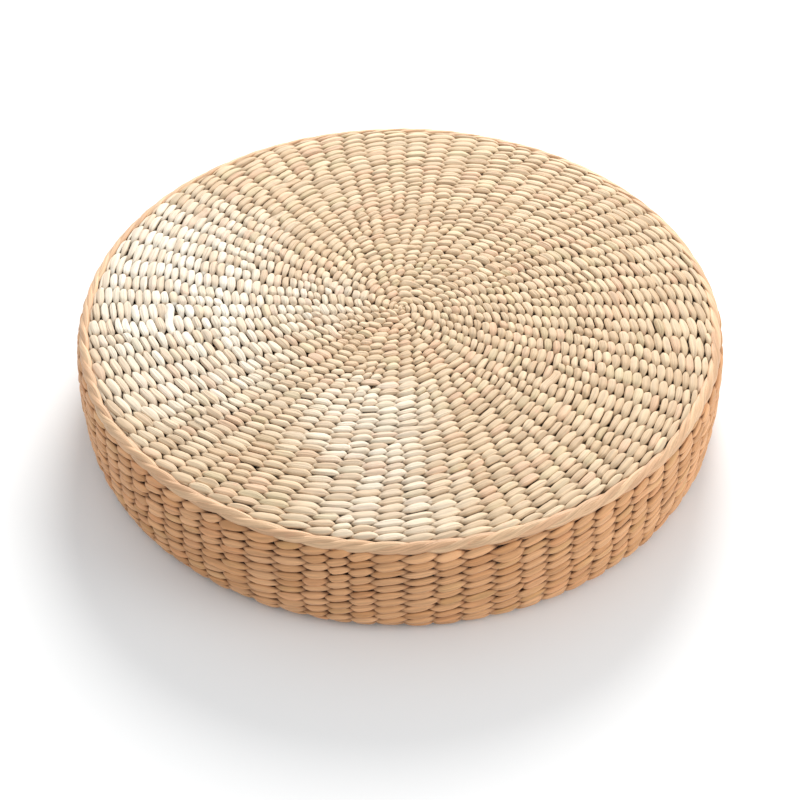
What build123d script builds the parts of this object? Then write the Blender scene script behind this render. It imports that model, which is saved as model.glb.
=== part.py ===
from build123d import *
from math import cos, degrees, radians, sin
import os

# A round seat pad: a foam core in a sewn liner, inside a basket shell of pair-twined straw.
# Radial straws, the stakes, run from the top centre over the edge, down the side and back under
# to the bottom centre.  Each round of twining has one strand outside the stakes and one inside
# them.  Origin: centre of the underside, +Z up.  Millimetres.

# Overall size
PAD_RADIUS = 200.0
PAD_HEIGHT = 70.0

# The straw
STRAND_THICKNESS = 3.0
STAKE_THICKNESS = 2.0
STAKE_WIDTH = 3.0
STAKE_LAYER = 2.2  # depth between the outer and the inner strands
STRAND_GAP = 0.1  # clear space between one round and the next
STRAND_CHAMFER = 0.9

# Rounds of twining, counted along the wall from the top centre to the bottom centre
TOP_ROUNDS = 35
TOP_PITCH = 5.2
SIDE_ROUNDS = 11
SIDE_PITCH = 5.77
BOTTOM_BANDS = 4
ROUNDS_PER_BAND = 9
BOTTOM_PITCH = 5.1
RIM_WIDTH = 6.6
RIM_THICKNESS = 4.0
RIM_TILT = 52.0  # how far round the top corner the rim cord sits, degrees above horizontal

# The bend of the wall, taken on the line through the middle of the outer strands
CORNER_RADIUS = 9.6
SIDE_LEAN = 6.0  # the side bulges: its ends lean in by this angle, degrees

# Stakes: how many begin at each distance from the centre
STAKE_SETS = {
    "stakes_centre": ((8.5, 10, 0.0), (16.0, 10, 18.0)),
    "stakes_second": ((45.0, 20, 9.0),),
    "stakes_third": ((105.0, 40, 4.5),),
}
KNOT_RADIUS = 8.4
KNOT_GROOVE_RADIUS = 4.4
KNOT_GROOVE_DEPTH = 0.8

# Liner and core
LINER_THICKNESS = 0.6
LINER_GAP = 0.2  # clear space between the liner and the strands
LINER_EDGE_RADIUS = 188.6
LINER_SWELL = 2.8  # how far the liner's side stands out at half height

# Worked out from the above
HALF_HEIGHT = PAD_HEIGHT / 2
LINE_DEPTH = STRAND_THICKNESS / 2  # from the outside to the outer strand line
INNER_DEPTH = STRAND_THICKNESS + STAKE_LAYER  # from the outer strand line to the inner one
STAKE_DEPTH = INNER_DEPTH / 2
WALL_THICKNESS = STAKE_LAYER + 2 * STRAND_THICKNESS
CORNER_Z = PAD_HEIGHT - LINE_DEPTH - CORNER_RADIUS
LEAN_RISE = CORNER_Z + CORNER_RADIUS * sin(radians(SIDE_LEAN)) - HALF_HEIGHT
SIDE_RADIUS = LEAN_RISE / sin(radians(SIDE_LEAN))
SIDE_CENTRE = PAD_RADIUS - LINE_DEPTH - SIDE_RADIUS
CORNER_CENTRE = SIDE_CENTRE + (SIDE_RADIUS - CORNER_RADIUS) * cos(radians(SIDE_LEAN))
CORNER_LENGTH = CORNER_RADIUS * radians(90 - SIDE_LEAN)
SIDE_LENGTH = 2 * SIDE_RADIUS * radians(SIDE_LEAN)
WALL_LENGTH = 2 * CORNER_CENTRE + 2 * CORNER_LENGTH + SIDE_LENGTH
CORE_TOP = PAD_HEIGHT - WALL_THICKNESS - LINER_GAP - LINER_THICKNESS
CORE_BOTTOM = PAD_HEIGHT - CORE_TOP
CORE_EDGE_RADIUS = LINER_EDGE_RADIUS - LINER_THICKNESS

RIM_STATION = CORNER_CENTRE + CORNER_RADIUS * radians(90 - RIM_TILT)
TOP_END = RIM_STATION - RIM_WIDTH / 2
SIDE_START = RIM_STATION + RIM_WIDTH / 2
BOTTOM_START = SIDE_START + SIDE_ROUNDS * SIDE_PITCH


def wall_station(along):
    """Radius, height, tilt of the outward normal and bend radius on the outer strand line."""
    if along > WALL_LENGTH / 2:
        radius, height, tilt, bend = wall_station(WALL_LENGTH - along)
        return radius, PAD_HEIGHT - height, -tilt, bend
    if along < CORNER_CENTRE:
        return along, CORNER_Z + CORNER_RADIUS, 90.0, None
    past = along - CORNER_CENTRE
    if past < CORNER_LENGTH:
        tilt = 90 - degrees(past / CORNER_RADIUS)
        radius = CORNER_CENTRE + CORNER_RADIUS * cos(radians(tilt))
        return radius, CORNER_Z + CORNER_RADIUS * sin(radians(tilt)), tilt, CORNER_RADIUS
    tilt = SIDE_LEAN - degrees((past - CORNER_LENGTH) / SIDE_RADIUS)
    radius = SIDE_CENTRE + SIDE_RADIUS * cos(radians(tilt))
    return radius, HALF_HEIGHT + SIDE_RADIUS * sin(radians(tilt)), tilt, SIDE_RADIUS


def strand_section(along, depth, width, thickness):
    """Place, outline and turn of one strand's section, for a strand this deep in the wall."""
    radius, height, tilt, bend = wall_station(along)
    if bend:
        width = width * (bend - depth - STRAND_THICKNESS / 2) / bend
    across = (width - STRAND_GAP) / 2
    out = thickness / 2
    edge = min(STRAND_CHAMFER, 0.6 * across)
    upper = [(out, across - edge), (out - edge, across), (edge - out, across), (-out, across - edge)]
    lower = [(-x, -y) for x, y in upper]
    place = (radius - depth * cos(radians(tilt)), height - depth * sin(radians(tilt)))
    return place, upper + lower, tilt


def twined_rounds(name, sections):
    """One node: each section is carried once round the pad's axis, as a strand of its own."""
    with BuildPart() as rounds:
        with BuildSketch(Plane.XZ):
            for place, outline, tilt in sections:
                with Locations(place):
                    Polygon(*outline, rotation=tilt)
        revolve(axis=Axis.Z)
    rounds.part.label = name
    export_step(rounds.part, f"parts/{name}.step")


def strand_pair(along, pitch):
    """The outer and the inner strand of one round."""
    outer = strand_section(along, 0.0, pitch, STRAND_THICKNESS)
    inner = strand_section(along, INNER_DEPTH, pitch, STRAND_THICKNESS)
    return [outer, inner]


def wall_line(depth, start_radius):
    """Half of a stake's outline: the wall's own bend, this deep, from the centre to half height."""
    corner = CORNER_RADIUS - depth
    level = CORNER_Z + corner
    lean = radians(SIDE_LEAN)
    lean_start = (CORNER_CENTRE + corner * cos(lean), CORNER_Z + corner * sin(lean))
    equator = (PAD_RADIUS - LINE_DEPTH - depth, HALF_HEIGHT)
    return (start_radius, level), (CORNER_CENTRE, level), lean_start, equator


def mirrored(point):
    """The same point on the lower half of the pad."""
    return point[0], PAD_HEIGHT - point[1]


def bent_stake(start_radius):
    """One straw bent round the pad's edge, lying along +X."""
    out_start, out_bend, out_lean, out_equator = wall_line(STAKE_DEPTH - STAKE_THICKNESS / 2, start_radius)
    in_start, in_bend, in_lean, in_equator = wall_line(STAKE_DEPTH + STAKE_THICKNESS / 2, start_radius)
    with BuildPart() as stake:
        with BuildSketch(Plane.XZ):
            with BuildLine():
                Line(out_start, out_bend)
                TangentArc(out_bend, out_lean, tangent=(1, 0))
                ThreePointArc(out_lean, out_equator, mirrored(out_lean))
                TangentArc(mirrored(out_bend), mirrored(out_lean), tangent=(1, 0))
                Line(mirrored(out_bend), mirrored(out_start))
                Line(mirrored(out_start), mirrored(in_start))
                Line(mirrored(in_start), mirrored(in_bend))
                TangentArc(mirrored(in_bend), mirrored(in_lean), tangent=(1, 0))
                ThreePointArc(mirrored(in_lean), in_equator, in_lean)
                TangentArc(in_bend, in_lean, tangent=(1, 0))
                Line(in_bend, in_start)
                Line(in_start, out_start)
            make_face()
        extrude(amount=STAKE_WIDTH / 2, both=True)
    return stake.part


def stake_set(name, rings):
    """The stakes of one node, evenly spread round the pad."""
    with BuildPart() as stakes:
        for start_radius, count, first_angle in rings:
            with PolarLocations(0, count, start_angle=first_angle):
                add(bent_stake(start_radius))
    stakes.part.label = name
    export_step(stakes.part, f"parts/{name}.step")


def centre_knot(name, outer_level, inward):
    """The tied centre of one face: it fills the wall's full depth and holds the stakes' ends."""
    face = Plane((0, 0, outer_level), x_dir=(1, 0, 0), z_dir=(0, 0, inward))
    with BuildPart() as knot:
        with BuildSketch(face):
            Circle(KNOT_RADIUS)
        extrude(amount=WALL_THICKNESS)
        with BuildSketch(face):
            Circle(KNOT_GROOVE_RADIUS + KNOT_GROOVE_DEPTH / 2)
            Circle(KNOT_GROOVE_RADIUS - KNOT_GROOVE_DEPTH / 2, mode=Mode.SUBTRACT)
        extrude(amount=KNOT_GROOVE_DEPTH, mode=Mode.SUBTRACT)
        rims = knot.edges().filter_by(GeomType.CIRCLE).sort_by(SortBy.RADIUS)[-2:]
        chamfer(rims, KNOT_GROOVE_DEPTH)
    knot.part.label = name
    export_step(knot.part, f"parts/{name}.step")


def liner_panel(name, lower_level):
    """One round panel of the liner."""
    with BuildPart() as panel:
        with BuildSketch(Plane.XY.offset(lower_level)):
            Circle(LINER_EDGE_RADIUS)
        extrude(amount=LINER_THICKNESS)
    panel.part.label = name
    export_step(panel.part, f"parts/{name}.step")


os.makedirs("parts", exist_ok=True)

# Top face, from the centre outward
for number in range(1, TOP_ROUNDS + 1):
    station = TOP_END - (TOP_ROUNDS - number + 0.5) * TOP_PITCH
    twined_rounds(f"top_round_{number:02d}", strand_pair(station, TOP_PITCH))

# Rim cord at the top corner, thicker than the other strands and standing a little proud
rim_rise = (RIM_THICKNESS - STRAND_THICKNESS) / 2
rim_outer = strand_section(RIM_STATION, -rim_rise, RIM_WIDTH, RIM_THICKNESS)
rim_inner = strand_section(RIM_STATION, INNER_DEPTH, RIM_WIDTH, STRAND_THICKNESS)
twined_rounds("top_rim_cord", [rim_outer, rim_inner])

# Side wall, from the rim cord down and round the bottom corner
for number in range(1, SIDE_ROUNDS + 1):
    station = SIDE_START + (number - 0.5) * SIDE_PITCH
    twined_rounds(f"side_round_{number:02d}", strand_pair(station, SIDE_PITCH))

# Underside, from the edge inward, in bands of several rounds
for band in range(BOTTOM_BANDS):
    sections = []
    for step in range(ROUNDS_PER_BAND):
        station = BOTTOM_START + (band * ROUNDS_PER_BAND + step + 0.5) * BOTTOM_PITCH
        sections.extend(strand_pair(station, BOTTOM_PITCH))
    twined_rounds(f"bottom_band_{band + 1}", sections)

for set_name, rings in STAKE_SETS.items():
    stake_set(set_name, rings)

centre_knot("top_center_knot", PAD_HEIGHT, -1)
centre_knot("bottom_center_knot", 0.0, 1)

liner_panel("liner_top_panel", CORE_TOP)
liner_panel("liner_bottom_panel", CORE_BOTTOM - LINER_THICKNESS)

# The liner's side band meets both panels face to face and swells with the core
with BuildPart() as liner_side_band:
    with BuildSketch(Plane.XZ):
        with BuildLine():
            outer_top = (LINER_EDGE_RADIUS, CORE_TOP)
            outer_middle = (LINER_EDGE_RADIUS + LINER_SWELL, HALF_HEIGHT)
            inner_top = (CORE_EDGE_RADIUS, CORE_TOP)
            inner_middle = (CORE_EDGE_RADIUS + LINER_SWELL, HALF_HEIGHT)
            ThreePointArc(outer_top, outer_middle, mirrored(outer_top))
            Line(mirrored(outer_top), mirrored(inner_top))
            ThreePointArc(mirrored(inner_top), inner_middle, inner_top)
            Line(inner_top, outer_top)
        make_face()
    revolve(axis=Axis.Z)
liner_side_band.part.label = "liner_side_band"
export_step(liner_side_band.part, "parts/liner_side_band.step")

# The foam core fills the liner
with BuildPart() as foam_core:
    with BuildSketch(Plane.XZ):
        with BuildLine():
            core_top = (CORE_EDGE_RADIUS, CORE_TOP)
            core_middle = (CORE_EDGE_RADIUS + LINER_SWELL, HALF_HEIGHT)
            Line((0, CORE_TOP), core_top)
            ThreePointArc(core_top, core_middle, mirrored(core_top))
            Line(mirrored(core_top), (0, CORE_BOTTOM))
            Line((0, CORE_BOTTOM), (0, CORE_TOP))
        make_face()
    revolve(axis=Axis.Z)
foam_core.part.label = "foam_core"
export_step(foam_core.part, "parts/foam_core.step")
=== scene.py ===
import math

import bpy
import numpy as np
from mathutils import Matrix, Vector


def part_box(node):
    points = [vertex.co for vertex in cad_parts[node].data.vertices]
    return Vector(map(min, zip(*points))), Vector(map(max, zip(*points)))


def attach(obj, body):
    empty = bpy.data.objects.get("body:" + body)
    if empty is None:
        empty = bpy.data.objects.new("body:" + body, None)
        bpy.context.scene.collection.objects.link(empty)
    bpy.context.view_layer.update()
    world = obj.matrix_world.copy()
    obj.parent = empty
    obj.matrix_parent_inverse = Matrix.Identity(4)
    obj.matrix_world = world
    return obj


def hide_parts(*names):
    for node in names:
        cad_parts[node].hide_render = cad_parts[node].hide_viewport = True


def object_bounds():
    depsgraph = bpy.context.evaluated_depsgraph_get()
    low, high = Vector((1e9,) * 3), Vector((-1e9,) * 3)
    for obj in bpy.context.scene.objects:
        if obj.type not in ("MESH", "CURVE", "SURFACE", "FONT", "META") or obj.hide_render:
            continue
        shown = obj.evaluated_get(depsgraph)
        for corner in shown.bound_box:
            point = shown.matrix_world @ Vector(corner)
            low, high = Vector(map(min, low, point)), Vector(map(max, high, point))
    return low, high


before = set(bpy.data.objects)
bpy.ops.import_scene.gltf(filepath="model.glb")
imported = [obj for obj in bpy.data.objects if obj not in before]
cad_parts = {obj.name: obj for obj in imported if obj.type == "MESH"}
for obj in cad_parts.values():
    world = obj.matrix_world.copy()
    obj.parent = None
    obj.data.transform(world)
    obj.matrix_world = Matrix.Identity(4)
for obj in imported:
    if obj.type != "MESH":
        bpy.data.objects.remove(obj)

CAD_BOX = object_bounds()
MM = 0.001
TURN = 2 * math.pi

# ---------------------------------------------------------------- the wall, as designed
PAD_RADIUS = CAD_BOX[1].x
PAD_HEIGHT = CAD_BOX[1].z
CORNER_RADIUS = 9.6 * MM  # on the line through the middle of the outer strands
SIDE_LEAN = math.radians(6)
RIM_TILT = math.radians(52)
STRAND = 3.0 * MM
ROUND_LOW, ROUND_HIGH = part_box("top_round_20")
WALL = ROUND_HIGH.z - ROUND_LOW.z
INNER_DEPTH = WALL - STRAND  # from the outer strand line to the inner one
STAKE_DEPTH = INNER_DEPTH / 2
RIM_WIDTH = 6.6 * MM

TOP_ROUNDS = 35
SIDE_ROUNDS = 11
BOTTOM_BANDS = 4
ROUNDS_PER_BAND = 9
TOP_PITCH = ROUND_HIGH.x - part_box("top_round_19")[1].x
SIDE_PITCH = 5.77 * MM
BOTTOM_PITCH = 5.1 * MM

LINE_DEPTH = STRAND / 2
HALF_HEIGHT = PAD_HEIGHT / 2
CORNER_Z = PAD_HEIGHT - LINE_DEPTH - CORNER_RADIUS
SIDE_RADIUS = (CORNER_Z + CORNER_RADIUS * math.sin(SIDE_LEAN) - HALF_HEIGHT) / math.sin(SIDE_LEAN)
SIDE_CENTRE = PAD_RADIUS - LINE_DEPTH - SIDE_RADIUS
CORNER_CENTRE = SIDE_CENTRE + (SIDE_RADIUS - CORNER_RADIUS) * math.cos(SIDE_LEAN)
CORNER_LENGTH = CORNER_RADIUS * (math.pi / 2 - SIDE_LEAN)
SIDE_LENGTH = 2 * SIDE_RADIUS * SIDE_LEAN
WALL_LENGTH = 2 * CORNER_CENTRE + 2 * CORNER_LENGTH + SIDE_LENGTH
RIM_STATION = CORNER_CENTRE + CORNER_RADIUS * (math.pi / 2 - RIM_TILT)
TOP_END = RIM_STATION - RIM_WIDTH / 2
TOP_START = TOP_END - TOP_ROUNDS * TOP_PITCH
SIDE_START = RIM_STATION + RIM_WIDTH / 2
BOTTOM_START = SIDE_START + SIDE_ROUNDS * SIDE_PITCH
BOTTOM_END = BOTTOM_START + BOTTOM_BANDS * ROUNDS_PER_BAND * BOTTOM_PITCH

# ---------------------------------------------------------------- the weave
STAKES = 80
FIRST_STAKES = 10  # already there where the others begin
FIRST_JITTER = 0.04  # radians
STAKE_START = 8.5 * MM
STAKE_STEP = 1 * MM
STAKE_FULL = 90  # the count of stakes grows towards this, and stops at STAKES
STAKE_GROWTH = 88 * MM  # radius over which it does most of its growing
STAKE_RELAX = 0.075  # share of its offset that a stake loses in each step outward
STAKE_JITTER = 0.35 * MM  # how far a stake strays in each step outward
WIDEST_GAPS = (0.75, 1.0)  # under 1, a new stake may go into a gap a little short of the widest
GAP_MIDDLE = (0.42, 0.58)  # where in its gap a new stake is laid
KNOT_CORE = 8 * MM  # within it, each stitch takes in two stakes

WANDER = 1.9 * MM
WANDER_WAVES = (  # share of the drift, waves round the pad, length along the wall, phase
    (0.5, 2, 21 * MM, 0.7),
    (0.3, 5, -16 * MM, 2.1),
    (0.2, 9, 12 * MM, 4.0),
)
WANDER_GROWTH = 40 * MM  # the drift grows over this distance from the knot
STEADY_EDGE = (170 * MM, 20 * MM)  # and falls off from this radius on, over this distance
STEADY_SHARE = 0.75

SPIRAL_START = 1.1  # angle at which the rounds begin, towards the back right
SPIRAL_TAPER = 0.5  # turns
ANGLE_SEARCHES = 4  # enough for a crossing's angle and place to settle on each other
NEARBY = 5  # crossings on each side that a crossing's spacing is compared with
TOO_CLOSE = 0.4  # share of the usual spacing, under which a crossing is left out
CROSSING_JITTER = 0.07  # how far a crossing strays, as a share of the stakes' spacing
LONG_FLOATS = 0.006  # share of gaps in which the two strands don't cross
FLOAT_DIVE = 0.02  # how far in an uncrossed outer strand lies, as a share of the full dive

STITCH_SAMPLES = 10
SECTION_POINTS = 12
DIVE = 2.4  # over 1, a strand stays near the face until it is past the gap between two stakes
SLANT = 0.21  # how far a stitch's ends stray from the middle of its row, as a share of the row
NARROWEST = 2.4 * MM  # a strand keeps this width where its row tapers out
TUCK = 1.3 * MM  # and sinks this far under its neighbours
FLOOR_GAP = 0.05 * MM  # the pad's weight presses the underside's stitches flat
PAINTED_SHADE_FADE = 2.6 * MM  # depth over which painted shade darkens a strand into a gap
CHANGE_START = 0.35  # share of a gap at which a stitch's own values begin to change over
CHANGE_LENGTH = 0.3
WAIST = (0.10, 0.56, 0.66, 0.34)  # start and length of a strand's narrowing, then of its widening
WIDTH_RANGE = (0.46, 0.56)  # width at the waist, and what the belly adds, as shares of the row
BODY_RANGE = (0.92, 0.14)  # the same for thickness, as shares of a strand
ROLL_MEAN = 0.04  # radians, which lifts one edge of each stitch a little
WIDTH_SPREAD = 0.07  # this and the next five are standard deviations between stitches
BODY_SPREAD = 0.06
LIFT_SPREAD = 0.20 * MM
DRIFT_SPREAD = 0.24 * MM
ROLL_SPREAD = 0.14
SHADE_SPREAD = 0.13
SHADE_SWING = 0.10  # a slow change of shade along a strand
SHADE_STITCHES = 9.0  # stitches in one radian of that change

rng = np.random.default_rng(24)


def wall_line(along):
    """Radius, height and tilt of the outward normal on the outer strand line."""
    along = np.asarray(along, float)
    lower = along > WALL_LENGTH / 2
    station = np.where(lower, WALL_LENGTH - along, along)
    past = station - CORNER_CENTRE
    corner_tilt = math.pi / 2 - past / CORNER_RADIUS
    side_tilt = SIDE_LEAN - (past - CORNER_LENGTH) / SIDE_RADIUS
    places = [past < 0, past < CORNER_LENGTH]
    tilt = np.select(places, [math.pi / 2, corner_tilt], side_tilt)
    corner_r = CORNER_CENTRE + CORNER_RADIUS * np.cos(corner_tilt)
    side_r = SIDE_CENTRE + SIDE_RADIUS * np.cos(side_tilt)
    radius = np.select(places, [station, corner_r], side_r)
    corner_z = CORNER_Z + CORNER_RADIUS * np.sin(corner_tilt)
    side_z = HALF_HEIGHT + SIDE_RADIUS * np.sin(side_tilt)
    height = np.select(places, [CORNER_Z + CORNER_RADIUS, corner_z], side_z)
    height = np.where(lower, PAD_HEIGHT - height, height)
    return radius, height, np.where(lower, -tilt, tilt)


def wall_point(along, depth, angle):
    """Points of the wall, from the distance along it, the depth in it and the angle round it."""
    radius, height, tilt = wall_line(along)
    out = radius - depth * np.cos(tilt)
    up = height - depth * np.sin(tilt)
    return np.stack([out * np.cos(angle), out * np.sin(angle), up], axis=-1)


def ease(x):
    x = np.clip(x, 0, 1)
    return x * x * (3 - 2 * x)


def uneven(mean, swing, waves, angle, phase=0):
    """A value that swings about its mean in even waves."""
    return mean + swing * np.sin(waves * angle + phase)


def wander(along, angle):
    """Rows of a hand-made wall drift a little, and their neighbours drift with them."""
    near = np.minimum(along, WALL_LENGTH - along)
    edge, fall = STEADY_EDGE
    fade = ease((near - TOP_START) / WANDER_GROWTH) * (1 - STEADY_SHARE * ease((near - edge) / fall))
    drift = 0
    for share, waves, length, phase in WANDER_WAVES:
        drift = uneven(drift, share, waves, angle, along / length + phase)
    return fade * WANDER * drift


def lay_stakes():
    """Angle of every stake at each radius, with new stakes laid into the widest gaps."""
    radii = np.arange(STAKE_START, CORNER_CENTRE + STAKE_STEP, STAKE_STEP)
    track = np.full((STAKES, len(radii)), np.nan)
    order = list(range(FIRST_STAKES))
    angles = np.arange(FIRST_STAKES) * TURN / FIRST_STAKES
    angles = angles + rng.normal(0, FIRST_JITTER, FIRST_STAKES)
    for column, radius in enumerate(radii):
        wanted = min(STAKES, STAKE_FULL * (1 - math.exp(-radius / STAKE_GROWTH)))
        while len(order) < wanted:
            gaps = np.diff(np.append(angles, angles[0] + TURN))
            at = int(np.argmax(gaps * rng.uniform(*WIDEST_GAPS, len(gaps))))
            place = angles[at] + gaps[at] * rng.uniform(*GAP_MIDDLE)
            angles = np.insert(angles, at + 1, place)
            order.insert(at + 1, len(order))
        before = np.roll(angles, 1)
        before[0] -= TURN
        after = np.roll(angles, -1)
        after[-1] += TURN
        angles = angles + STAKE_RELAX * ((before + after) / 2 - angles)
        angles = angles + rng.normal(0, STAKE_JITTER, len(angles)) / radius
        track[order, column] = angles
    return radii, track


STAKE_RADII, STAKE_TRACK = lay_stakes()


def stake_angle(stake, along):
    """Angle of one stake, or nan where it hasn't begun."""
    near = min(along, WALL_LENGTH - along)
    if near < KNOT_CORE and stake % 2:
        return math.nan
    near = np.clip(near, STAKE_RADII[0], STAKE_RADII[-1])
    return float(np.interp(near, STAKE_RADII, STAKE_TRACK[stake]))


def row_line(rows, places):
    """Boundary of a spiral's rows against turns made, from the places along the wall of some rows.
    The spiral makes half a turn more at each end, because its end rows taper."""

    def boundary(turns):
        return np.interp(turns - SPIRAL_TAPER, rows, places)

    return boundary


def crossings(first, last, boundary):
    """Angles, counted on from the start, at which the spiral meets stakes."""
    found = []
    for turn in range(first - 1, last + 1):
        for stake in range(STAKES):
            angle = math.pi
            for _ in range(ANGLE_SEARCHES):
                turns = np.array([turn + angle / TURN])
                along = (boundary(turns) + boundary(turns + 1)) / 2
                at = stake_angle(stake, along[0])
                if math.isnan(at):
                    break
                angle = (at - SPIRAL_START) % TURN
            if not math.isnan(at):
                found.append(turn * TURN + angle)
    found = np.sort(np.array(found))
    found = found[found > (first - SPIRAL_TAPER) * TURN]
    found = found[found < (last + SPIRAL_TAPER) * TURN]
    local = np.diff(found)
    window = np.ones(2 * NEARBY + 1) / (2 * NEARBY + 1)
    usual = np.convolve(np.pad(local, NEARBY, mode="edge"), window, "valid")
    keep = np.append(True, local > TOO_CLOSE * usual)
    return found[keep]


class StrandMesh:
    """Gathers strands, each a row of sections, into one mesh."""

    def __init__(self):
        self.points, self.loops, self.sizes, self.uvs, self.tints = [], [], [], [], []
        self.count = 0

    def add(self, sections, run, tint, closed=False):
        """sections: n x k x 3.  run: length along the strand at each section.  tint: n x k x 4."""
        n, k = sections.shape[:2]
        grid = self.count + np.arange(n * k).reshape(n, k)
        if closed:
            grid = np.vstack([grid, grid[:1]])
            run = np.append(run, run[-1] + (run[-1] - run[-2]))
        around = np.linalg.norm(np.roll(sections[n // 2], -1, axis=0) - sections[n // 2], axis=1)
        across = np.append(0, np.cumsum(around))
        turned = np.hstack([grid, grid[:, :1]])
        quads = np.stack([turned[:-1, :-1], turned[1:, :-1], turned[1:, 1:], turned[:-1, 1:]], -1)
        u = np.repeat(run[:, None], k + 1, 1)
        v = np.repeat(across[None], len(run), 0)
        corner_u = np.stack([u[:-1, :-1], u[1:, :-1], u[1:, 1:], u[:-1, 1:]], -1)
        corner_v = np.stack([v[:-1, :-1], v[1:, :-1], v[1:, 1:], v[:-1, 1:]], -1)
        self.loops.append(quads.ravel())
        self.sizes.append(np.full(quads.shape[0] * quads.shape[1], 4))
        self.uvs.append(np.stack([corner_u.ravel(), corner_v.ravel()], -1))
        if not closed:
            for ring, at in ((grid[0], run[0]), (grid[-1][::-1], run[-1])):
                self.loops.append(ring)
                self.sizes.append(np.array([k]))
                self.uvs.append(np.stack([np.full(k, at), across[:k]], -1))
        self.points.append(sections.reshape(-1, 3))
        self.tints.append(np.broadcast_to(tint, (n, k, 4)).reshape(-1, 4))
        self.count += n * k

    def build(self, name):
        points = np.concatenate(self.points).astype(np.float32)
        loops = np.concatenate(self.loops).astype(np.int32)
        sizes = np.concatenate(self.sizes).astype(np.int32)
        mesh = bpy.data.meshes.new(name)
        mesh.vertices.add(len(points))
        mesh.vertices.foreach_set("co", points.ravel())
        mesh.loops.add(len(loops))
        mesh.loops.foreach_set("vertex_index", loops)
        mesh.polygons.add(len(sizes))
        mesh.polygons.foreach_set("loop_start", np.append(0, np.cumsum(sizes)[:-1]).astype(np.int32))
        mesh.polygons.foreach_set("use_smooth", np.ones(len(sizes), bool))
        mesh.update(calc_edges=True)
        layer = mesh.uv_layers.new(name="strand")
        layer.data.foreach_set("uv", np.concatenate(self.uvs).astype(np.float32).ravel())
        tint = mesh.color_attributes.new("tint", "FLOAT_COLOR", "POINT")
        tint.data.foreach_set("color", np.concatenate(self.tints).astype(np.float32).ravel())
        mesh.validate()
        piece = bpy.data.objects.new(name, mesh)
        bpy.context.scene.collection.objects.link(piece)
        return piece


SECTION_ANGLES = np.arange(SECTION_POINTS) * TURN / SECTION_POINTS


def section_shape(power):
    """Outline of a strand's section. A power under 1 makes it fuller at its corners."""
    across = np.sign(np.cos(SECTION_ANGLES)) * np.abs(np.cos(SECTION_ANGLES)) ** power
    out = np.sign(np.sin(SECTION_ANGLES)) * np.abs(np.sin(SECTION_ANGLES)) ** power
    return across, out


PRESSED = section_shape(0.68)  # the top's stitches
FIRM = section_shape(0.82)  # the side's and the underside's
ROUND = section_shape(0.95)  # the rim's plies and the ties at the centres


def strand_sections(shape, along, shift, depth, width, thickness, roll, angle):
    """Sections of a strand lying in the wall, and how deep each of their points lies."""
    across = shape[0] * width[:, None] / 2
    out = shape[1] * thickness[:, None] / 2
    turned_across = across * np.cos(roll)[:, None] - out * np.sin(roll)[:, None]
    turned_out = across * np.sin(roll)[:, None] + out * np.cos(roll)[:, None]
    station = (along + shift)[:, None] + turned_across
    level = depth[:, None] - turned_out
    return wall_point(station, level, angle[:, None]), level


def blended(values, index, share):
    """A value for each stitch, changing over in the gap between two stitches."""
    change = ease((share - CHANGE_START) / CHANGE_LENGTH)
    following = np.minimum(index + 1, len(values) - 1)
    return values[index] * (1 - change) + values[following] * change


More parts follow.
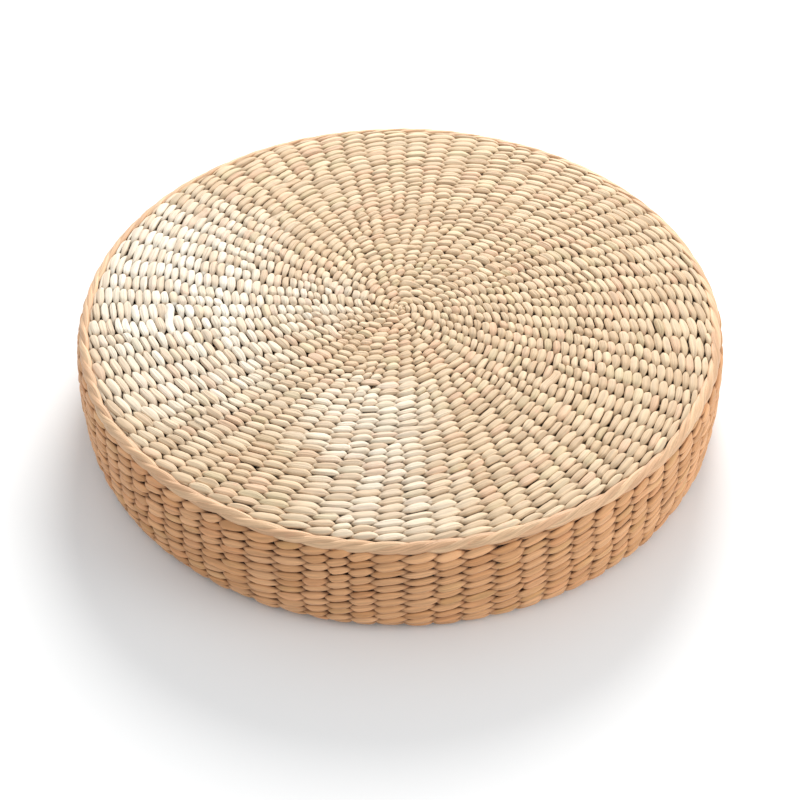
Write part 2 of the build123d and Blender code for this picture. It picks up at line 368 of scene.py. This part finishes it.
def twine(angles, boundary, shape, fullness, painted_shade_depth):
    """Both strands of a spiral of twining: arrays for each sample, ready to be cut into rounds.
    fullness: a stitch's width as a share of its row.  painted_shade_depth: where the gaps' shade
    begins.
    A tint holds a stitch's shade, its hue and how deep in a gap the point lies, which sets the
    painted shade of the gaps."""
    count = len(angles)
    spacing = np.gradient(angles)
    angles = angles + spacing * rng.normal(0, CROSSING_JITTER, count) * (np.arange(count) > 0)
    position = np.arange((count - 1) * STITCH_SAMPLES + 1) / STITCH_SAMPLES
    index = np.minimum(position.astype(int), count - 2)
    share = position - index
    angle = np.interp(position, np.arange(count), angles)
    turns = angle / TURN
    inner, outer = boundary(turns), boundary(turns + 1)
    around = angle + SPIRAL_START
    inner = inner + wander(inner, around)
    outer = outer + wander(outer, around)
    row, room = (inner + outer) / 2, outer - inner
    width = np.maximum(room, NARROWEST)
    tucked = TUCK * ease(1 - room / NARROWEST)
    crosses = rng.random(count) > LONG_FLOATS
    crosses[1:] |= ~crosses[:-1]  # a strand never floats over two gaps running
    side = np.append(1, np.where(crosses[:-1], -1, 1)).cumprod()  # which strand is outside
    crossing = crosses[index]
    strands = []
    for sign in (1, -1):
        outside = side[index] * sign > 0
        gone = np.where(outside, share, 1 - share)  # 0 out on a stake, 1 behind the next one
        level_dive = np.where(outside, FLOAT_DIVE, 1 - FLOAT_DIVE)
        dive = np.where(crossing, ease(gone) ** DIVE, level_dive)
        slant = np.where(crossing, -np.sin(np.pi * share) * side[index] * sign, 0)
        narrows, narrowing, widens, widening = WAIST
        waist = ease((gone - narrows) / narrowing) - ease((gone - widens) / widening)
        fat = np.where(crossing, 1 - waist, 1)
        wide = blended(rng.normal(1, WIDTH_SPREAD, count), index, share)
        thick = blended(rng.normal(1, BODY_SPREAD, count), index, share)
        lift = blended(rng.normal(0, LIFT_SPREAD, count), index, share)
        drift = blended(rng.normal(0, DRIFT_SPREAD, count), index, share)
        roll = blended(rng.normal(ROLL_MEAN, ROLL_SPREAD, count), index, share)
        belly = width * fullness * (WIDTH_RANGE[0] + WIDTH_RANGE[1] * fat) * wide
        body = STRAND * (BODY_RANGE[0] + BODY_RANGE[1] * fat) * thick
        depth = INNER_DEPTH * dive + (lift + tucked) * (1 - dive)
        shift = SLANT * width * slant + drift
        points, level = strand_sections(shape, row, shift, depth, belly, body, roll, around)
        points[..., 2] = np.maximum(points[..., 2], FLOOR_GAP)
        middle = points.mean(axis=1)
        run = np.append(0, np.cumsum(np.linalg.norm(np.diff(middle, axis=0), axis=1)))
        nearest = np.minimum(np.round(position).astype(int), count - 1)
        swing = SHADE_SWING * np.sin(np.arange(count) / SHADE_STITCHES + sign)
        pale = rng.normal(0.5, SHADE_SPREAD, count) + swing
        hue = rng.random(count)
        tint = np.empty(points.shape[:2] + (4,))
        tint[..., 0] = np.clip(pale, 0, 1)[nearest][:, None]
        tint[..., 1] = hue[nearest][:, None]
        # painted shade: grows with the depth below the face
        tint[..., 2] = ease((level + LINE_DEPTH - painted_shade_depth) / PAINTED_SHADE_FADE)
        tint[..., 3] = 1
        strands.append((points, run + sign, tint))
    return position, turns, strands


def cut_strands(twined, first, last):
    """The stretch of a spiral between two numbers of turns, cut where the strands cross."""
    position, turns, strands = twined
    ends = []
    for wanted in (first, last):
        at = int(np.argmin(np.abs(turns - wanted)))
        ends.append(int(position[at]) * STITCH_SAMPLES + STITCH_SAMPLES // 2)
    if first < turns[0]:
        ends[0] = 0
    if last > turns[-1]:
        ends[1] = len(position) - 1
    mesh = StrandMesh()
    for points, run, tint in strands:
        part = slice(ends[0], ends[1] + 1)
        mesh.add(points[part], run[part], tint[part])
    return mesh


def finish_piece(piece, nodes, material):
    """Gives the piece its material and place in the frame, and hides the CAD nodes that it stands
    for.
    """
    piece.data.materials.append(material)
    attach(piece, "root")
    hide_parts(*nodes)


# ---------------------------------------------------------------- materials
class Nodes:
    """Short calls for building one material."""

    def __init__(self, name):
        self.material = bpy.data.materials.new(name)
        self.material.use_nodes = True
        self.tree = self.material.node_tree
        self.shader = self.tree.nodes["Principled BSDF"]

    def new(self, kind, **settings):
        node = self.tree.nodes.new(kind)
        for key, value in settings.items():
            setattr(node, key, value)
        return node

    def link(self, source, target):
        self.tree.links.new(source, target)

    def maths(self, operation, first, second):
        node = self.new("ShaderNodeMath", operation=operation)
        for socket, given in zip(node.inputs, (first, second)):
            if isinstance(given, (int, float)):
                socket.default_value = given
            else:
                self.link(given, socket)
        return node.outputs[0]

    def mix(self, share, first, second, blend="MIX"):
        node = self.new("ShaderNodeMix", data_type="RGBA", blend_type=blend)
        sockets = (node.inputs[0], node.inputs[6], node.inputs[7])  # factor, A and B of a colour mix
        for socket, given in zip(sockets, (share, first, second)):
            if isinstance(given, (int, float)):
                socket.default_value = given
            elif isinstance(given, tuple):
                socket.default_value = (*given, 1)
            else:
                self.link(given, socket)
        return node.outputs[2]

    def noise(self, vector, scale, detail=2.0, rough=0.5):
        node = self.new("ShaderNodeTexNoise")
        node.inputs["Scale"].default_value = scale
        node.inputs["Detail"].default_value = detail
        node.inputs["Roughness"].default_value = rough
        self.link(vector, node.inputs["Vector"])
        return node.outputs[0]

    def scaled(self, vector, scale):
        node = self.new("ShaderNodeMapping")
        node.inputs["Scale"].default_value = scale
        self.link(vector, node.inputs["Vector"])
        return node.outputs[0]

    def spread(self, source, low, high, to_low=0.0, to_high=1.0):
        node = self.new("ShaderNodeMapRange", interpolation_type="SMOOTHSTEP")
        self.link(source, node.inputs[0])
        for socket, given in zip(node.inputs[1:5], (low, high, to_low, to_high)):
            socket.default_value = given
        return node.outputs[0]

    def bump(self, height, strength, distance):
        node = self.new("ShaderNodeBump")
        node.inputs["Strength"].default_value = strength
        node.inputs["Distance"].default_value = distance
        self.link(height, node.inputs["Height"])
        self.link(node.outputs[0], self.shader.inputs["Normal"])


FIBRE_SCALE = (45, 1500, 1)  # along and across a strand
RIB_SCALE = (22, 620, 1)
BLOTCH_SCALE = 170
HUE_SHARE = 0.34  # how far a warm or green straw leaves the plain colour
BLOTCH_SHARE = 0.45
# how far the painted shade takes a strand deep in a gap to its gap colour
PAINTED_SHADE_SHARE = 0.88
BLEACHED_STRAW = (0.93, 0.89, 0.79)


def straw(name, plain, pale, warm, green, gap, patches=(), rough=0.6):
    """Straw: fibres along each strand, every stitch its own shade of straw, and painted shade
    darkening the gaps.
    """
    n = Nodes(name)
    tint = n.new("ShaderNodeAttribute", attribute_name="tint")
    parts = n.new("ShaderNodeSeparateColor")
    n.link(tint.outputs["Color"], parts.inputs[0])
    shade, hue, deep = parts.outputs
    strand = n.new("ShaderNodeUVMap", uv_map="strand").outputs[0]
    place = n.new("ShaderNodeTexCoord").outputs["Object"]
    fibre = n.noise(n.scaled(strand, FIBRE_SCALE), 1.0, 4.0, 0.62)
    ribs = n.noise(n.scaled(strand, RIB_SCALE), 1.0)
    blotch = n.noise(place, BLOTCH_SCALE, 3.0, 0.6)
    colour = n.mix(n.spread(shade, 0.15, 0.85), plain, pale)
    colour = n.mix(n.maths("MULTIPLY", n.spread(hue, 0.80, 0.97), HUE_SHARE), colour, warm)
    colour = n.mix(n.maths("MULTIPLY", n.spread(hue, 0.14, 0.02), HUE_SHARE), colour, green)
    colour = n.mix(n.maths("MULTIPLY", n.spread(blotch, 0.58, 0.76), BLOTCH_SHARE), colour, warm)
    for centre, size, strength in patches:
        reach = n.new("ShaderNodeVectorMath", operation="DISTANCE")
        n.link(place, reach.inputs[0])
        reach.inputs[1].default_value = centre
        share = n.spread(reach.outputs["Value"], size, size * 0.25)
        share = n.maths("MULTIPLY", share, n.spread(shade, 0.25, 0.75, 0.3))
        colour = n.mix(n.maths("MULTIPLY", share, strength), colour, BLEACHED_STRAW)
    lines = n.maths("ADD", n.maths("MULTIPLY", fibre, 0.5), n.maths("MULTIPLY", ribs, 0.5))
    streak = n.spread(lines, 0.37, 0.63, 0.76, 1.07)
    grey = n.new("ShaderNodeCombineColor")
    for socket in grey.inputs:
        n.link(streak, socket)
    colour = n.mix(1.0, colour, grey.outputs[0], "MULTIPLY")
    # painted shade: a strand darkens towards its gap colour as it goes deep into a gap
    colour = n.mix(n.maths("MULTIPLY", deep, PAINTED_SHADE_SHARE), colour, gap)
    n.link(colour, n.shader.inputs["Base Color"])
    n.link(n.spread(fibre, 0.2, 0.8, rough - 0.1, rough + 0.15), n.shader.inputs["Roughness"])
    height = n.maths("ADD", n.maths("MULTIPLY", fibre, 0.5), n.maths("MULTIPLY", ribs, 1.5))
    n.bump(height, 0.8, 0.7 * MM)
    n.shader.inputs["Specular IOR Level"].default_value = 0.32
    n.shader.inputs["Sheen Weight"].default_value = 0.08
    n.shader.inputs["Sheen Roughness"].default_value = 0.5
    return n.material


def cloth(name, colour, threads):
    """Plain woven cotton."""
    n = Nodes(name)
    place = n.new("ShaderNodeTexCoord").outputs["Object"]
    waves = []
    for axis in ("X", "Y"):
        wave = n.new("ShaderNodeTexWave", bands_direction=axis)
        wave.inputs["Scale"].default_value = threads
        wave.inputs["Distortion"].default_value = 0.6
        n.link(place, wave.inputs["Vector"])
        waves.append(wave.outputs["Fac"])
    lattice = n.maths("MULTIPLY", waves[0], waves[1])
    soft = n.noise(place, 40, 3.0)
    shade = n.mix(n.spread(soft, 0.3, 0.7), colour, tuple(0.86 * c for c in colour))
    threaded = n.mix(n.maths("MULTIPLY", lattice, 0.2), shade, (0.9, 0.86, 0.78))
    n.link(threaded, n.shader.inputs["Base Color"])
    n.bump(lattice, 0.5, 0.2 * MM)
    n.shader.inputs["Roughness"].default_value = 0.9
    n.shader.inputs["Sheen Weight"].default_value = 0.25
    return n.material


FOAM_CELLS = 900  # for each metre


def foam(name, colour):
    """Open-cell foam."""
    n = Nodes(name)
    place = n.new("ShaderNodeTexCoord").outputs["Object"]
    cells = n.new("ShaderNodeTexVoronoi")
    cells.inputs["Scale"].default_value = FOAM_CELLS
    n.link(place, cells.inputs["Vector"])
    soft = n.noise(place, 25, 3.0)
    n.link(n.mix(n.spread(soft, 0.3, 0.7), colour, (0.78, 0.70, 0.48)), n.shader.inputs["Base Color"])
    n.bump(cells.outputs["Distance"], 0.6, 0.4 * MM)
    n.shader.inputs["Roughness"].default_value = 0.95
    return n.material


def floor_material():
    n = Nodes("studio_floor")
    n.shader.inputs["Base Color"].default_value = (0.83, 0.83, 0.83, 1)
    n.shader.inputs["Roughness"].default_value = 0.7
    n.shader.inputs["Specular IOR Level"].default_value = 0.1
    return n.material


BLEACHED = (  # centre, reach and strength of the top's pale patches
    ((-0.150, 0.040, PAD_HEIGHT), 0.105, 0.72),
    ((-0.125, -0.040, PAD_HEIGHT), 0.095, 0.50),
    ((-0.020, -0.100, PAD_HEIGHT), 0.060, 0.45),
    ((-0.008, -0.160, PAD_HEIGHT), 0.060, 0.35),
    ((-0.050, 0.005, PAD_HEIGHT), 0.040, 0.40),
)
# gap: the colour of the painted shade in the hollows between strands
STRAW_TOP = straw(
    "straw_top",
    plain=(0.585, 0.41, 0.25),
    pale=(0.715, 0.545, 0.36),
    warm=(0.70, 0.39, 0.25),
    green=(0.55, 0.475, 0.265),
    gap=(0.11, 0.065, 0.025),
    patches=BLEACHED,
)
STRAW_RIM = straw(
    "straw_rim",
    plain=(0.62, 0.36, 0.20),
    pale=(0.74, 0.49, 0.29),
    warm=(0.72, 0.38, 0.22),
    green=(0.62, 0.47, 0.26),
    gap=(0.20, 0.085, 0.035),
    rough=0.5,
)
# a darker, more orange copy of the top's straw: partly painted shade for the side, partly a warmer
# tone of the straw itself
STRAW_SIDE = straw(
    "straw_side",
    plain=(0.61, 0.30, 0.125),
    pale=(0.76, 0.42, 0.21),
    warm=(0.69, 0.295, 0.125),
    green=(0.64, 0.39, 0.16),
    gap=(0.12, 0.04, 0.015),
)
STRAW_BOTTOM = straw(
    "straw_bottom",
    plain=(0.52, 0.31, 0.16),
    pale=(0.66, 0.44, 0.25),
    warm=(0.58, 0.30, 0.15),
    green=(0.52, 0.38, 0.18),
    gap=(0.09, 0.045, 0.018),
)
STRAW_STAKE = straw(
    "straw_stake",
    plain=(0.40, 0.25, 0.13),
    pale=(0.52, 0.35, 0.20),
    warm=(0.45, 0.25, 0.13),
    green=(0.40, 0.29, 0.15),
    gap=(0.14, 0.07, 0.03),
)
LINER_CLOTH = cloth("liner_cloth", (0.62, 0.54, 0.42), 500)
FOAM = foam("foam", (0.86, 0.80, 0.60))


# ---------------------------------------------------------------- the woven shell
KNOT_TURNS = 2
KNOT_START = 1.7 * MM  # radius at which the knot's coil begins
TOP_FULLNESS = 1.02
SIDE_FULLNESS = 0.97
# depths below the face at which the gaps' painted shade begins, on the top and on the side
TOP_PAINTED_SHADE_DEPTH = 1.0 * MM
SIDE_PAINTED_SHADE_DEPTH = 0.2 * MM
SIDE_LAP = 0.8 * MM  # the side's first row reaches up under the rim cord

TIE_SAMPLES = 13
TIE_REACH = 2.7 * MM  # half the stitch's length
TIE_WIDTH = 3.8 * MM
TIE_THICKNESS = 4.4 * MM
TIE_DEPTH = 0.2 * MM  # how far its middle lies under the outer strand line
TIE_SHADE = 0.55
# painted shade on the tie stitch: where it begins below the top, and the depth over which it darkens
TIE_PAINTED_SHADE_DEPTH = 0.6 * MM
TIE_PAINTED_SHADE_FADE = 3 * MM
TAIL_SHARE = 0.9  # the tail's thickness against the stitch's
TAIL_REACH = 0.4  # half its length, as a share of the wall
TAIL_GAP = 0.8  # how far it lies in the gap's shade
PLAIN_TINT = 0.5  # the middle of each channel, for straws that are mostly hidden


def tie_centre(mesh, below):
    """A short stitch over the axis, and the tail that goes down from it through the wall."""
    length = np.linspace(-1, 1, TIE_SAMPLES)
    swell = np.sqrt(np.clip(1 - length**2, 0.02, 1))[:, None]
    across = ROUND[0] * TIE_WIDTH / 2 * swell
    out = ROUND[1] * TIE_THICKNESS / 2 * swell
    run = length * TIE_REACH
    level = PAD_HEIGHT - LINE_DEPTH - TIE_DEPTH
    stitch = np.stack([-across, run[:, None] + 0 * across, level + out], -1)
    tint = np.full(stitch.shape[:2] + (4,), TIE_SHADE)
    # painted shade darkens the tie stitch towards its underside
    tint[..., 2] = ease((PAD_HEIGHT - stitch[..., 2] - TIE_PAINTED_SHADE_DEPTH) / TIE_PAINTED_SHADE_FADE)
    drop = PAD_HEIGHT - WALL / 2 + length * WALL * TAIL_REACH
    tail = np.stack([-across * TAIL_SHARE, out * TAIL_SHARE, drop[:, None] + 0 * across], -1)
    # the tail is set into the gaps' painted shade
    dark = tint.copy()
    dark[..., 2] = TAIL_GAP
    for points, shade in ((stitch, tint), (tail, dark)):
        if below:
            points = points * np.array([1, -1, -1]) + np.array([0, 0, PAD_HEIGHT])
            points[..., 2] = np.maximum(points[..., 2], FLOOR_GAP)
        mesh.add(points, run, shade)


def weave(node, twined, first, last, material):
    mesh = cut_strands(twined, first, last)
    finish_piece(mesh.build(f"{node}_woven"), [node], material)


def weave_top():
    """The knot and the top's rounds, one spiral of twining worked outward."""
    boundary = row_line((-KNOT_TURNS, 0, TOP_ROUNDS), (KNOT_START, TOP_START, TOP_END))
    angles = crossings(-KNOT_TURNS, TOP_ROUNDS, boundary)
    twined = twine(angles, boundary, PRESSED, TOP_FULLNESS, TOP_PAINTED_SHADE_DEPTH)
    knot = cut_strands(twined, -KNOT_TURNS - 1, 0)
    tie_centre(knot, False)
    finish_piece(knot.build("top_center_knot_coiled"), ["top_center_knot"], STRAW_TOP)
    for number in range(TOP_ROUNDS):
        last = number + 1 + (number == TOP_ROUNDS - 1)
        weave(f"top_round_{number + 1:02d}", twined, number, last, STRAW_TOP)


def weave_side_and_bottom():
    """The side, the underside and its knot, one spiral worked down and inward."""
    rounds = SIDE_ROUNDS + BOTTOM_BANDS * ROUNDS_PER_BAND
    rows = (0, SIDE_ROUNDS, rounds, rounds + KNOT_TURNS)
    places = (SIDE_START - SIDE_LAP, BOTTOM_START, BOTTOM_END, WALL_LENGTH - KNOT_START)
    boundary = row_line(rows, places)
    angles = crossings(0, rounds + KNOT_TURNS, boundary)
    twined = twine(angles, boundary, FIRM, SIDE_FULLNESS, SIDE_PAINTED_SHADE_DEPTH)
    for number in range(SIDE_ROUNDS):
        first = number - (number == 0)
        weave(f"side_round_{number + 1:02d}", twined, first, number + 1, STRAW_SIDE)
    for band in range(BOTTOM_BANDS):
        first = SIDE_ROUNDS + band * ROUNDS_PER_BAND
        last = first + ROUNDS_PER_BAND
        weave(f"bottom_band_{band + 1}", twined, first, last, STRAW_BOTTOM)
    knot = cut_strands(twined, rounds, rounds + KNOT_TURNS + 1)
    tie_centre(knot, True)
    name = "bottom_center_knot"
    finish_piece(knot.build(f"{name}_coiled"), [name], STRAW_BOTTOM)


RIM_LAYS = 24  # turns of the lay on the way round
RIM_PLIES = 3
RIM_SAMPLES = 1200
PLY_WIDTH = 4.1 * MM
PLY_THICKNESS = 3.1 * MM
PLY_DEPTH = -0.50 * MM  # the cord stands out from the outer strand line by this
PLY_RISE = 0.65 * MM  # how far a ply goes in and out in a lay
PLY_SHIFT = 1.6 * MM  # and how far from side to side
PLY_ROLL = 0.35
# level on the plies from which painted shade darkens them, in the hollows of the lay
RIM_PAINTED_SHADE_DEPTH = -0.9 * MM
RIM_INNER_WIDTH = 6.0 * MM


def make_rim_cord():
    """Three flattened plies with a long lay, and the strand behind the stakes."""
    mesh = StrandMesh()
    angle = np.arange(RIM_SAMPLES) * TURN / RIM_SAMPLES
    along = uneven(uneven(RIM_STATION, 0.35 * MM, 7, angle, 1), 0.25 * MM, 16, angle)
    length = angle * PAD_RADIUS
    for ply in range(RIM_PLIES):
        lay = uneven(RIM_LAYS * angle + ply * TURN / RIM_PLIES, 0.35, 5, angle, ply)
        depth = PLY_DEPTH - PLY_RISE * np.cos(lay)
        shift = -PLY_SHIFT * np.sin(lay)
        width = uneven(PLY_WIDTH, 0.35 * MM, 11, angle, 2 * ply)
        thickness = uneven(PLY_THICKNESS, 0.2 * MM, 13, angle, ply)
        roll = PLY_ROLL * np.sin(lay)
        points, level = strand_sections(ROUND, along, shift, depth, width, thickness, roll, angle)
        tint = np.ones(points.shape[:2] + (4,))
        tint[..., 0] = uneven(0.55, 0.2, 9, angle, 3 * ply)[:, None]
        tint[..., 1] = uneven(0.5, 0.37, 6, angle, 2 * ply)[:, None]
        # painted shade where a ply sinks into the lay
        tint[..., 2] = ease((level - RIM_PAINTED_SHADE_DEPTH) / PAINTED_SHADE_FADE)
        mesh.add(points, length + ply, tint, closed=True)
    none = np.zeros(RIM_SAMPLES)
    depth, width, thickness = none + INNER_DEPTH, none + RIM_INNER_WIDTH, none + STRAND
    points, level = strand_sections(ROUND, along, none, depth, width, thickness, none, angle)
    # the middle values put the hidden strand half into the gaps' painted shade
    tint = np.full(points.shape[:2] + (4,), PLAIN_TINT)
    mesh.add(points, length, tint, closed=True)
    finish_piece(mesh.build("top_rim_cord_laid"), ["top_rim_cord"], STRAW_RIM)


STAKE_POINTS = 8
STAKE_SPACING = 4 * MM
STAKE_WIDTH = 3.0 * MM
STAKE_THICKNESS = 2.0 * MM
STAKE_SWING = 0.08  # how much a stake's width varies, as a share of it
STAKE_WAVES = 90  # radians of that for each metre
STAKE_SHADES = (0.2, 0.8)
STAKE_GAP = 0.35  # how far a stake lies in the gap's shade
STAKE_GROUPS = {"stakes_centre": (0, 20), "stakes_second": (20, 40), "stakes_third": (40, 80)}


def make_stakes():
    """Flattened straws that follow their tracks over the top, side and underside."""
    around = np.arange(STAKE_POINTS) * TURN / STAKE_POINTS
    for node, (first, last) in STAKE_GROUPS.items():
        mesh = StrandMesh()
        for stake in range(first, last):
            begun = STAKE_RADII[np.isfinite(STAKE_TRACK[stake])][0]
            steps = int((WALL_LENGTH - 2 * begun) / STAKE_SPACING)
            along = np.linspace(begun, WALL_LENGTH - begun, steps)
            near = np.clip(np.minimum(along, WALL_LENGTH - along), begun, STAKE_RADII[-1])
            angle = np.interp(near, STAKE_RADII, STAKE_TRACK[stake])
            radius = wall_line(along)[0]
            wide = STAKE_WIDTH / 2 * uneven(1, STAKE_SWING, STAKE_WAVES, along, stake)
            turned = np.cos(around)[None] * wide[:, None] / radius[:, None]
            level = STAKE_DEPTH - np.sin(around)[None] * STAKE_THICKNESS / 2
            points = wall_point(along[:, None], level, angle[:, None] - turned)
            tint = np.full(points.shape[:2] + (4,), PLAIN_TINT)
            tint[..., 0] = rng.uniform(*STAKE_SHADES)
            tint[..., 1] = rng.random()
            tint[..., 2] = STAKE_GAP
            mesh.add(points[:, ::-1], along + stake, tint)
        finish_piece(mesh.build(f"{node}_laid"), [node], STRAW_STAKE)


# ---------------------------------------------------------------- liner and core
RING_STEPS = 180
PANEL_STEPS = 40
BAND_STEPS = 25
FOAM_FACE_STEPS = 12
FOAM_EDGE_STEPS = 15
SKIN_SWELL = 2.8 * MM  # how much wider the foam and its cover are at half their height
SKIN_PIN = 0.4 * MM  # the turned skins close round a hair-thin opening on the axis
CLOTH_THICKNESS = 0.6 * MM
CLOTH_RIPPLE = 0.08 * MM
RIPPLES = 23
FOAM_CORNER = 4 * MM


def turned_skin(name, outline, ripple):
    """A closed skin turned round the axis from an outline of radius and height, a little uneven."""
    angle = (np.arange(RING_STEPS) * TURN / RING_STEPS)[:, None]
    radius, height = np.array(outline).T
    height = height + ripple * np.sin(RIPPLES * angle) * (radius / PAD_RADIUS) ** 4
    sections = np.stack([radius * np.cos(angle), radius * np.sin(angle), height], -1)
    mesh = StrandMesh()
    mesh.add(sections, angle[:, 0] * PAD_RADIUS, np.ones(sections.shape[:2] + (4,)), closed=True)
    return mesh.build(name)


def bowed_edge(node, steps):
    """Radius and height down the edge of a turned solid that is widest at its middle."""
    low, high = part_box(node)
    heights = np.linspace(high.z, low.z, steps)
    bow = 1 - ((heights - HALF_HEIGHT) / (high.z - HALF_HEIGHT)) ** 2
    return high.x - SKIN_SWELL + SKIN_SWELL * bow, heights


def make_liner_and_core():
    foam_low, foam_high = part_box("foam_core")
    edge, heights = bowed_edge("foam_core", FOAM_EDGE_STEPS)
    spokes = np.linspace(SKIN_PIN, edge[0] - FOAM_CORNER, FOAM_FACE_STEPS)
    top = [(r, foam_high.z) for r in spokes]
    side = list(zip(edge, heights))
    bottom = [(r, foam_low.z) for r in spokes[::-1]]
    core = turned_skin("foam_core_cut", (top + side + bottom)[::-1], 0.0)
    finish_piece(core, ["foam_core"], FOAM)
    for node in ("liner_top_panel", "liner_bottom_panel"):
        low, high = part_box(node)
        rings = np.linspace(SKIN_PIN, high.x, PANEL_STEPS)
        outline = [(r, high.z) for r in rings] + [(r, low.z) for r in rings[::-1]]
        panel = turned_skin(f"{node}_sewn", outline[::-1], CLOTH_RIPPLE)
        finish_piece(panel, [node], LINER_CLOTH)
    edge, heights = bowed_edge("liner_side_band", BAND_STEPS)
    outline = list(zip(edge, heights)) + list(zip((edge - CLOTH_THICKNESS)[::-1], heights[::-1]))
    band = turned_skin("liner_side_band_sewn", outline[::-1], 0.0)
    finish_piece(band, ["liner_side_band"], LINER_CLOTH)


# ---------------------------------------------------------------- studio
CAMERA_ELEVATION = math.radians(41.9)
CAMERA_DISTANCE = 5.298 * PAD_RADIUS
CAMERA_AIM_DROP = math.radians(1.714)
CAMERA_LENS = 75.5
CAMERA_SENSOR = 36
SKY_COLOUR = (0.955, 0.98, 1, 1)
SKY_STRENGTH = 0.85
LAMPS = {  # place, size and power
    "key_behind": ((0.20, 1.58, 1.06), 1.0, 47),
    "fill_right": ((1.4, -0.5, 0.7), 0.8, 9),
}
LAMP_COLOUR = (1, 0.985, 0.96)
LAMP_TARGET = Vector((0, 0, 0.03))
FLOOR_SIZE = 8


def area_light(name, place, size, power):
    light = bpy.data.lights.new(name, "AREA")
    light.shape = "DISK"
    light.size = size
    light.energy = power
    light.color = LAMP_COLOUR
    lamp = bpy.data.objects.new(name, light)
    bpy.context.scene.collection.objects.link(lamp)
    lamp.location = place
    lamp.rotation_euler = (LAMP_TARGET - Vector(place)).to_track_quat("-Z", "Y").to_euler()


def make_studio():
    scene = bpy.context.scene
    bpy.ops.mesh.primitive_plane_add(size=FLOOR_SIZE, location=(0, 0, 0))
    floor = bpy.context.object
    floor.name = "studio_floor"
    floor.data.materials.append(floor_material())
    world = bpy.data.worlds.new("studio")
    world.use_nodes = True
    sky = world.node_tree.nodes["Background"]
    sky.inputs["Color"].default_value = SKY_COLOUR
    sky.inputs["Strength"].default_value = SKY_STRENGTH
    scene.world = world
    for name, (place, size, power) in LAMPS.items():
        area_light(name, place, size, power)
    camera_data = bpy.data.cameras.new("camera")
    camera_data.lens = CAMERA_LENS
    camera_data.sensor_width = CAMERA_SENSOR
    camera = bpy.data.objects.new("camera", camera_data)
    scene.collection.objects.link(camera)
    front = -math.cos(CAMERA_ELEVATION) * CAMERA_DISTANCE
    rise = math.sin(CAMERA_ELEVATION) * CAMERA_DISTANCE
    camera.location = (0, front, HALF_HEIGHT + rise)
    camera.rotation_euler = (math.pi / 2 - CAMERA_ELEVATION - CAMERA_AIM_DROP, 0, 0)
    scene.camera = camera
    scene.view_settings.view_transform = "Standard"


weave_top()
make_rim_cord()
weave_side_and_bottom()
make_stakes()
make_liner_and_core()
make_studio()
